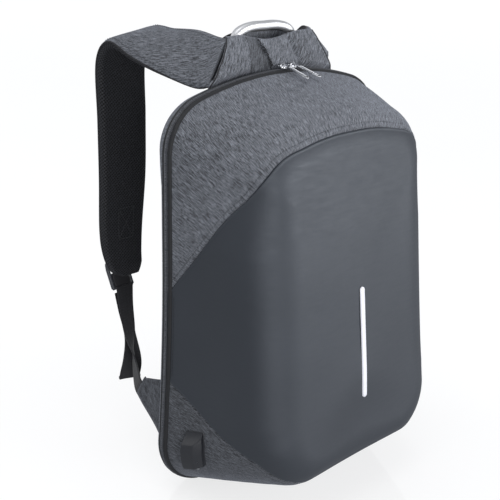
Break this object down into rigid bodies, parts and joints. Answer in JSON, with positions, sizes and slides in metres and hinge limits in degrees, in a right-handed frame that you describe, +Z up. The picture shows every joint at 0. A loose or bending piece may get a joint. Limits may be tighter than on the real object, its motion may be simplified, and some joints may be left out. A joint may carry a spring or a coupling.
{
  "type": "clamshell laptop backpack with usb charging port",
  "caption": "Grey melange laptop backpack with a smooth dark front panel, clamshell zip, metal carry handle, padded straps and a side charging port",
  "frame": {"origin": "on the flat underside of the base, on the bag's middle line, 40 mm in front of the zip's plane", "axes": "+Z up along the bag's height, -Y towards the front panel, +Y towards the wearer's back, +X to the right of someone who faces the front panel"},
  "size_m": [0.3236, 0.3112, 0.4974],
  "materials": {
    "melange": "woven grey melange, matt",
    "coated": "smooth coated cloth, satin",
    "black": "black webbing and tape, matt",
    "mesh": "black air mesh, matt",
    "foam": "closed cell foam, matt",
    "lining": "dark lining cloth, matt",
    "reflective": "pale reflective film, satin",
    "metal": "polished",
    "plastic": "dark grey, satin",
    "board": "black stiffener sheet, matt"
  },
  "bodies": {
    "front_shell": {"upper_fabric_panel": "melange", "base_fabric_panel": "melange", "wrap_panel": "coated", "front_foam_shell": "foam", "front_lining": "lining", "zip_front_half": "black", "reflective_strip": "reflective", "usb_hood": "plastic", "usb_socket": "metal", "power_bank_pocket": "black", "power_bank": "plastic", "base_board": "board", "hinge_tape": "black", "organiser_pocket": "lining"},
    "back_half": {"zip_back_half": "black", "back_gusset": "melange", "back_foam": "foam", "back_stiffener": "board", "back_lining": "lining", "back_mesh_panel": "mesh", "back_pad_upper_left": "mesh", "back_pad_upper_right": "mesh", "back_pad_lower_left": "mesh", "back_pad_lower_right": "mesh", "laptop_sleeve": "lining", "tablet_pocket": "lining", "collar_front": "melange", "collar_back": "melange", "handle_anchor_left": "black", "handle_anchor_right": "black", "left_strap_fabric": "melange", "left_strap_mesh": "mesh", "left_strap_loop": "black", "left_ladder_lock": "plastic", "left_webbing": "black", "left_webbing_end": "black", "left_wing": "melange", "right_strap_fabric": "melange", "right_strap_mesh": "mesh", "right_strap_loop": "black", "right_ladder_lock": "plastic", "right_webbing": "black", "right_webbing_end": "black", "right_wing": "melange"},
    "handle": {"carry_handle": "metal"},
    "slider_left": {"zip_slider_left": "metal"},
    "slider_right": {"zip_slider_right": "metal"},
    "pull_left": {"zip_pull_left": "metal"},
    "pull_right": {"zip_pull_right": "metal"}
  },
  "joints": [
    {"name": "clamshell_hinge", "type": "hinge", "parent": "front_shell", "child": "back_half", "pos_m": [0, 0.04, 0], "axis": [-1, 0, 0], "range_deg": [0, 165]},
    {"name": "handle_swing", "type": "hinge", "parent": "back_half", "child": "handle", "pos_m": [0, 0.067, 0.47], "axis": [1, 0, 0], "range_deg": [-12, 8]},
    {"name": "slider_left_travel", "type": "hinge", "parent": "front_shell", "child": "slider_left", "pos_m": [0, 0.04, 0.05], "axis": [0, -1, 0], "range_deg": [0, 15.5]},
    {"name": "slider_right_travel", "type": "hinge", "parent": "front_shell", "child": "slider_right", "pos_m": [0, 0.04, 0.05], "axis": [0, 1, 0], "range_deg": [0, 12.5]},
    {"name": "pull_left_flip", "type": "hinge", "parent": "slider_left", "child": "pull_left", "pos_m": [0.00406, 0.04, 0.45588], "axis": [-0.9987, -0.05, 0.01], "range_deg": [0, 118]},
    {"name": "pull_right_flip", "type": "hinge", "parent": "slider_right", "child": "pull_right", "pos_m": [0.01877, 0.04, 0.45547], "axis": [-0.979, -0.1987, 0.0453], "range_deg": [0, 118]}
  ]
}
